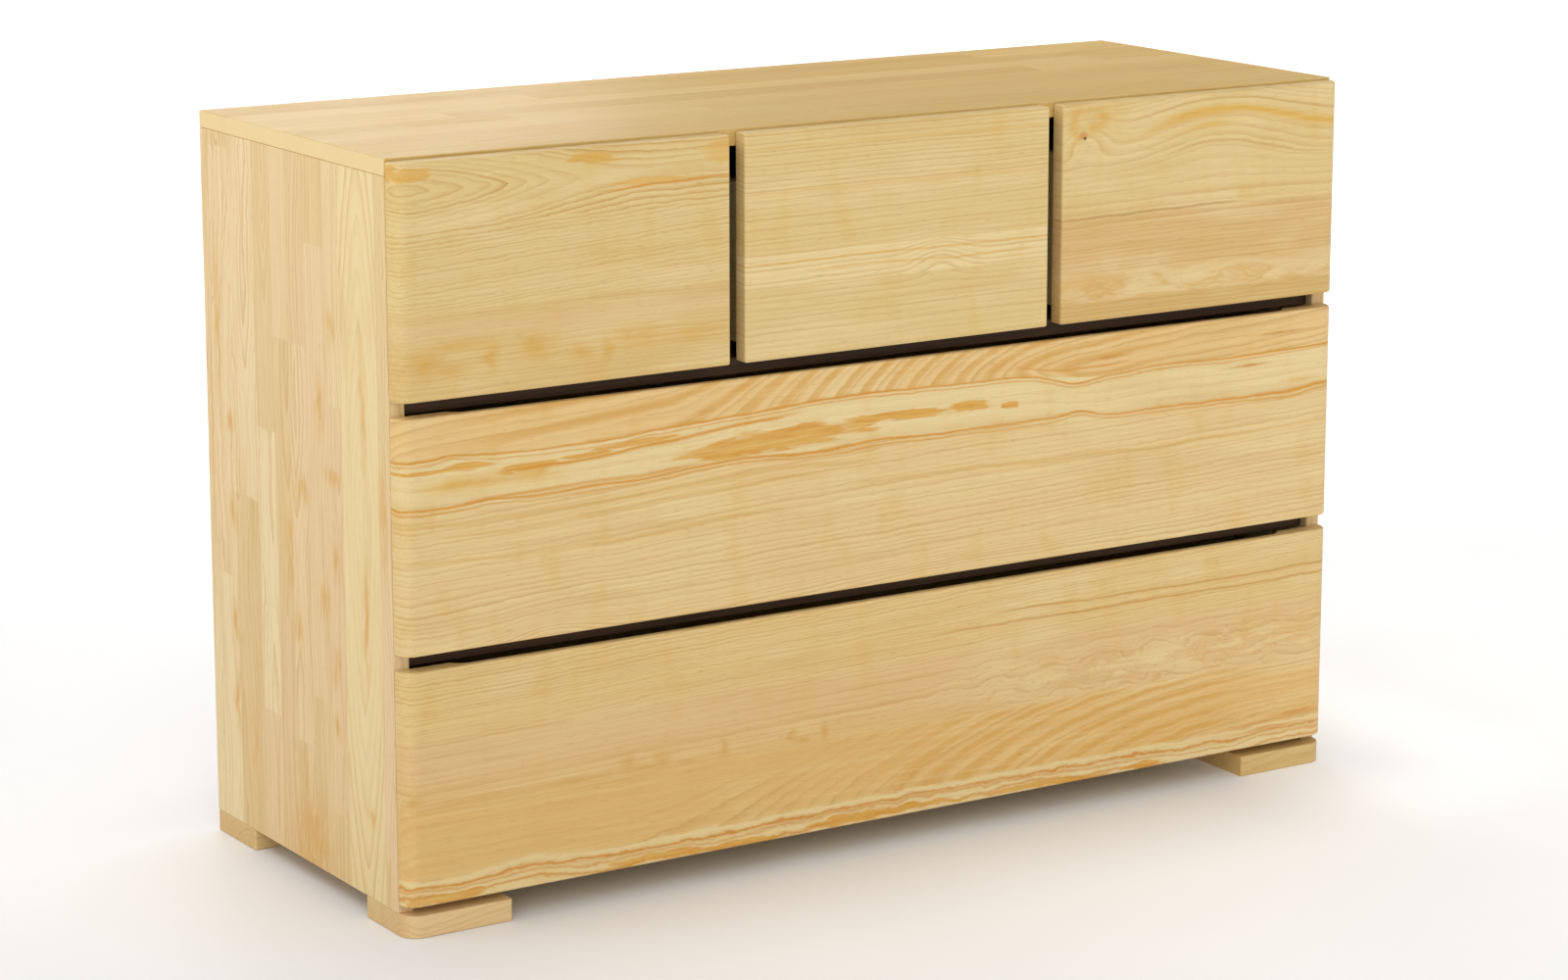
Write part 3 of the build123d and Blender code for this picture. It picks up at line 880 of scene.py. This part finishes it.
# The side's glue lines, back from its front edge, and its arched stave: two edges and the arches' middle.
SIDE_EDGES = [0.025, 0.105, 0.140, 0.185, 0.225, 0.262, 0.305, 0.363, 0.410]
SIDE_HEART = (0.025, 0.105, 0.40)
SIDE_TINTS = [
    srgb(230, 208, 160), srgb(227, 196, 152), srgb(224, 200, 148), srgb(221, 192, 140),
    srgb(231, 211, 165), srgb(226, 195, 150), srgb(218, 187, 134), srgb(224, 198, 146),
]
# Each resin streak is at (back from the front edge, up from the bottom), with half its width and length.
SIDE_MARKS = [
    ((0.3975, 0.548), (0.0075, 0.075)), ((0.0575, 0.508), (0.0055, 0.055)),
    ((0.0575, 0.298), (0.0060, 0.055)), ((0.1275, 0.587), (0.0090, 0.016)),
    ((0.1300, 0.431), (0.0180, 0.009)), ((0.1275, 0.229), (0.0090, 0.020)),
    ((0.1250, 0.340), (0.0080, 0.018)), ((0.1275, 0.166), (0.0080, 0.014)),
    ((0.1560, 0.500), (0.0100, 0.030)), ((0.1550, 0.295), (0.0110, 0.020)),
    ((0.2000, 0.404), (0.0160, 0.016)), ((0.2300, 0.336), (0.0080, 0.040)),
    ((0.2150, 0.250), (0.0090, 0.018)), ((0.1900, 0.020), (0.0450, 0.055)),
    ((0.3720, 0.448), (0.0090, 0.012)), ((0.3720, 0.350), (0.0080, 0.018)),
    ((0.3710, 0.222), (0.0080, 0.026)), ((0.3700, 0.136), (0.0070, 0.030)),
    ((0.3300, 0.105), (0.0050, 0.040)), ((0.0160, 0.410), (0.0080, 0.050)),
    ((0.0540, 0.088), (0.0090, 0.009)),
]
TOP_TINTS = [
    srgb(224, 194, 132), srgb(217, 185, 118), srgb(208, 173, 104),
    srgb(218, 183, 120), srgb(214, 182, 114), srgb(224, 193, 130),
]
TOP_END = (0.85, srgb(229, 205, 154))

# Staves are (width, length). The side's widths follow its glue lines instead.
SIDE_STAVE = (0.0, 0.42)
TOP_STAVE = (0.045, 0.60)
FOOT_STAVE = (0.062, 0.90)
BOX_STAVE = (0.085, 0.70)


def dress(node, material):
    """Gives a CAD node its material."""
    slots = nodes[node].material_slots
    if not slots:
        nodes[node].data.materials.append(material)
    for slot in slots:
        slot.material = material


def dress_fronts():
    """The drawer fronts, each with its own figure."""
    for number, drawer in enumerate(DRAWERS):
        node = f"drawer_{drawer}_front"
        bands, *figure = FRONTS[drawer]
        dress(node, front_material(f"pine_{node}", node, bands, number * 7.3 + 1.7, *figure))


def dress_panels():
    """The sides, the top and bottom, and the feet. The right side is the left one's board turned over."""
    low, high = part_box("side_panel_right")
    turned_over = [((across, high.z - low.z - up), size) for (across, up), size in SIDE_MARKS]
    for number, (side, marks) in enumerate((("left", SIDE_MARKS), ("right", turned_over))):
        node = f"side_panel_{side}"
        seed = number * 3.1 + 2.0
        look = {"edges": SIDE_EDGES, "heart": SIDE_HEART, "tints": SIDE_TINTS, "marks": marks}
        dress(node, stave_material(f"pine_{node}", node, (Z, Y, X), *SIDE_STAVE, seed, 0.75, **look))
    for number, node in enumerate(("top_panel", "bottom_panel")):
        seed = number * 4.7 + 11.0
        look = {"tints": TOP_TINTS, "end": TOP_END, "gloss": TOP_GLOSS}
        dress(node, stave_material(f"pine_{node}", node, (X, Y, Z), *TOP_STAVE, seed, 0.45, **look))
    for number, place in enumerate(("front_left", "front_right", "back_left", "back_right")):
        node = f"foot_{place}"
        seed = number * 2.3 + 21.0
        dress(node, stave_material(f"pine_{node}", node, (X, Y, Z), *FOOT_STAVE, seed, 0.55))


def dress_boxes():
    """The sides and backs of the drawer boxes, in plainer wood."""
    plain = [PALE, STRAW, PALE]
    for number, drawer in enumerate(DRAWERS):
        for part, axes in (("side_left", (Y, Z, X)), ("side_right", (Y, Z, X)), ("back", (X, Z, Y))):
            node = f"drawer_{drawer}_{part}"
            seed = number * 1.9 + 31.0
            dress(node, stave_material(f"pine_{node}", node, axes, *BOX_STAVE, seed, 0.45, tints=plain))


def dress_rest():
    """The boards behind the gaps, in near-black painted shade, the back and bottoms, and the metal. Returns
    the screws' material.
    """
    dark = gap_shade_material()
    board = hardboard_material()
    slide = steel_material("slide_steel", srgb(150, 152, 156), srgb(196, 198, 202), 0.28)
    screw = steel_material("screw_steel", srgb(168, 160, 132), srgb(206, 198, 170), 0.24)
    for node in nodes:
        if node.startswith(("partition", "divider")):
            # Partitions and dividers take the near-black painted shade that stands in for the shade in the
            # finger gaps.
            dress(node, dark)
        elif node == "back_panel" or node.endswith("_bottom"):
            dress(node, board)
        elif node.endswith("_slides") or node.startswith("cabinet_slides"):
            dress(node, slide)
        elif "screws" in node:
            dress(node, screw)
    return screw


# ---------------------------------------------------------------- fixings

# Profiles are (radius, height above the surface).
PIN_HEAD = [
    (0.0010, -0.0040), (0.0010, 0.0), (0.0030, 0.0002),
    (0.0034, 0.0006), (0.0026, 0.0011), (0.0008, 0.0014),
]
DOWEL_END = [(0.0040, -0.0060), (0.0040, 0.0), (0.0036, 0.0003), (0.0015, 0.0004)]
TURNED_SIDES = 24
PIN_INSET = 0.0055
PIN_GAP = 0.115
DOWEL_MARGIN = 0.015
DOWEL_GAP = 0.05


def turned(name, profile, place, facing, body, material):
    """A round fixing, turned from (radius, height) points about an axis at a place, riding on a body."""
    shape = bmesh.new()
    loops = []
    for radius, height in profile:
        steps = [2 * math.pi * step / TURNED_SIDES for step in range(TURNED_SIDES)]
        loops.append([shape.verts.new((radius * math.cos(a), radius * math.sin(a), height)) for a in steps])
    for lower, upper in zip(loops, loops[1:]):
        for i in range(TURNED_SIDES):
            j = (i + 1) % TURNED_SIDES
            shape.faces.new((lower[i], lower[j], upper[j], upper[i]))
    shape.faces.new(list(reversed(loops[0])))
    shape.faces.new(loops[-1])
    for face in shape.faces:
        face.smooth = True
    turn = Vector(facing).to_track_quat("Z", "Y").to_matrix().to_4x4()
    turn.translation = Vector(place)
    shape.transform(turn)
    mesh = bpy.data.meshes.new(name)
    shape.to_mesh(mesh)
    shape.free()
    mesh.materials.append(material)
    piece = bpy.data.objects.new(name, mesh)
    bpy.context.scene.collection.objects.link(piece)
    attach(piece, body)
    return piece


def spread(first, last, gap):
    """Even places from first to last, about a gap apart."""
    count = max(1, round((last - first) / gap))
    return [first + (last - first) * index / count for index in range(count + 1)]


def pin_back_panel(material):
    """Pins around the rim of the back panel."""
    low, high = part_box("back_panel")
    places = []
    for x in spread(low.x + PIN_INSET, high.x - PIN_INSET, PIN_GAP):
        places += [(x, low.z + PIN_INSET), (x, high.z - PIN_INSET)]
    for z in spread(low.z + PIN_INSET, high.z - PIN_INSET, PIN_GAP)[1:-1]:
        places += [(low.x + PIN_INSET, z), (high.x - PIN_INSET, z)]
    for number, (x, z) in enumerate(places, 1):
        pin = turned(f"back_pin_{number}", PIN_HEAD, (x, high.y, z), (0, 1, 0), "root", material)


def dowel_boxes():
    """Dowel ends where each drawer's back is joined between its sides, above and below the slide."""
    material = dowel_material()
    for drawer in DRAWERS:
        back_low, back_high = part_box(f"drawer_{drawer}_back")
        slide_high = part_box(f"drawer_{drawer}_slides")[1]
        middle = (back_low.y + back_high.y) / 2
        heights = [back_low.z + DOWEL_MARGIN]
        heights += spread(slide_high.z + DOWEL_MARGIN, back_high.z - DOWEL_MARGIN, DOWEL_GAP)
        body = f"drawer_{drawer}"
        for side, facing in (("left", -1), ("right", 1)):
            low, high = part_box(f"drawer_{drawer}_side_{side}")
            face = low.x if facing < 0 else high.x
            for number, z in enumerate(heights, 1):
                name = f"drawer_{drawer}_dowel_{side}_{number}"
                dowel = turned(name, DOWEL_END, (face, middle, z), (facing, 0, 0), body, material)


# ---------------------------------------------------------------- stage, camera and light

FLOOR_HALF = 40.0
CAMERA_PLACE = (-2.450, -3.835, 1.387)
CAMERA_YAW = math.radians(32.54)
CAMERA_PITCH = math.radians(11.60)
CAMERA_LENS = 95.7
CAMERA_SENSOR = 36.0
CAMERA_SHIFT_Y = -0.055
CAMERA_FAR = 200.0
LAMP_COLOUR = (1.0, 0.985, 0.96)

# Levels are (position, brightness): up from the horizon, and round towards the dark wall.
SKY_LEVELS = ((0.0, 1.0), (0.12, 0.86), (0.28, 0.61), (1.0, 0.48))
DARK_WALL_WAY = (0.82, 0.56, 0.12)
DARK_WALL_LEVELS = ((0.74, 1.0), (0.86, 0.55), (0.95, 0.30))


def build_floor():
    """A wide floor, so its edge is never in a picture."""
    mesh = bpy.data.meshes.new("floor")
    half = FLOOR_HALF
    corners = [(-half, -half, 0), (half, -half, 0), (half, half, 0), (-half, half, 0)]
    mesh.from_pydata(corners, [], [(0, 1, 2, 3)])
    mesh.materials.append(floor_material())
    floor = bpy.data.objects.new("floor", mesh)
    bpy.context.scene.collection.objects.link(floor)


def build_camera():
    """A camera at the photograph's angle."""
    data = bpy.data.cameras.new("camera")
    data.lens = CAMERA_LENS
    data.sensor_width = CAMERA_SENSOR
    data.shift_y = CAMERA_SHIFT_Y
    data.clip_end = CAMERA_FAR
    camera = bpy.data.objects.new("camera", data)
    bpy.context.scene.collection.objects.link(camera)
    camera.location = CAMERA_PLACE
    level = math.cos(CAMERA_PITCH)
    ahead = Vector((math.sin(CAMERA_YAW) * level, math.cos(CAMERA_YAW) * level, -math.sin(CAMERA_PITCH)))
    camera.rotation_euler = ahead.to_track_quat("-Z", "Y").to_euler()
    bpy.context.scene.camera = camera


def add_levels(tree, value, levels):
    """A brightness picked along levels, which are (position, brightness)."""
    made = tree.nodes.new("ShaderNodeValToRGB")
    for position, level in levels[1:-1]:
        made.color_ramp.elements.new(position)
    for element, (position, level) in zip(made.color_ramp.elements, levels):
        element.position = position
        element.color = (level, level, level, 1.0)
    tree.links.new(value, made.inputs[0])
    return made.outputs["Color"]


def build_world():
    """A white room, brightest near the horizon, with one darker wall far behind the chest on its right."""
    world = bpy.data.worlds.new("studio")
    bpy.context.scene.world = world
    world.use_nodes = True
    tree = world.node_tree
    tree.nodes.clear()
    output = tree.nodes.new("ShaderNodeOutputWorld")
    wall = tree.nodes.new("ShaderNodeBackground")
    wall.inputs["Color"].default_value = (1.0, 1.0, 1.0, 1.0)
    towards = tree.nodes.new("ShaderNodeTexCoord").outputs["Generated"]
    parts = tree.nodes.new("ShaderNodeSeparateXYZ")
    tree.links.new(towards, parts.inputs[0])
    height = add_levels(tree, parts.outputs[2], SKY_LEVELS)
    near_dark_wall = tree.nodes.new("ShaderNodeVectorMath")
    near_dark_wall.operation = "DOT_PRODUCT"
    near_dark_wall.inputs[1].default_value = DARK_WALL_WAY
    tree.links.new(towards, near_dark_wall.inputs[0])
    darkness = add_levels(tree, near_dark_wall.outputs["Value"], DARK_WALL_LEVELS)
    strength = tree.nodes.new("ShaderNodeMath")
    strength.operation = "MULTIPLY"
    tree.links.new(height, strength.inputs[0])
    tree.links.new(darkness, strength.inputs[1])
    tree.links.new(strength.outputs[0], wall.inputs["Strength"])
    tree.links.new(wall.outputs[0], output.inputs[0])


def add_sun(name, energy, angle, source):
    """A far, soft light that shines from the given side, with its angle in degrees."""
    light = bpy.data.lights.new(name, "SUN")
    light.energy = energy
    light.angle = math.radians(angle)
    light.color = LAMP_COLOUR
    lamp = bpy.data.objects.new(name, light)
    lamp.rotation_euler = Vector(source).to_track_quat("Z", "Y").to_euler()
    bpy.context.scene.collection.objects.link(lamp)


def add_soft_box(name, energy, size, place, towards):
    """A rectangular light at a place, facing the given way, which the camera doesn't see."""
    light = bpy.data.lights.new(name, "AREA")
    light.shape = "RECTANGLE"
    light.size, light.size_y = size
    light.energy = energy
    lamp = bpy.data.objects.new(name, light)
    lamp.location = place
    lamp.rotation_euler = (-Vector(towards)).to_track_quat("Z", "Y").to_euler()
    lamp.visible_camera = False
    bpy.context.scene.collection.objects.link(lamp)


def build_lights():
    """One far, wide key light from the front left, and three soft boxes."""
    add_sun("key", energy=0.80, angle=50, source=(-0.46, -0.70, 0.55))
    add_soft_box("left", energy=9.8, size=(1.2, 1.0), place=(-1.8, 0.1, 2.1), towards=(1.0, 0.0, -0.95))
    add_soft_box("above", energy=10.8, size=(1.8, 1.0), place=(0.7, 0.7, 2.3), towards=(-0.2, -0.3, -1.0))
    add_soft_box("window", energy=35.0, size=(3.4, 1.6), place=(0.5, 4.2, 1.5), towards=(0.0, -1.0, 0.0))


dress_fronts()
dress_panels()
dress_boxes()
screw_steel = dress_rest()
pin_back_panel(screw_steel)
dowel_boxes()
build_floor()
build_camera()
build_world()
build_lights()
bpy.context.scene.view_settings.view_transform = "Standard"
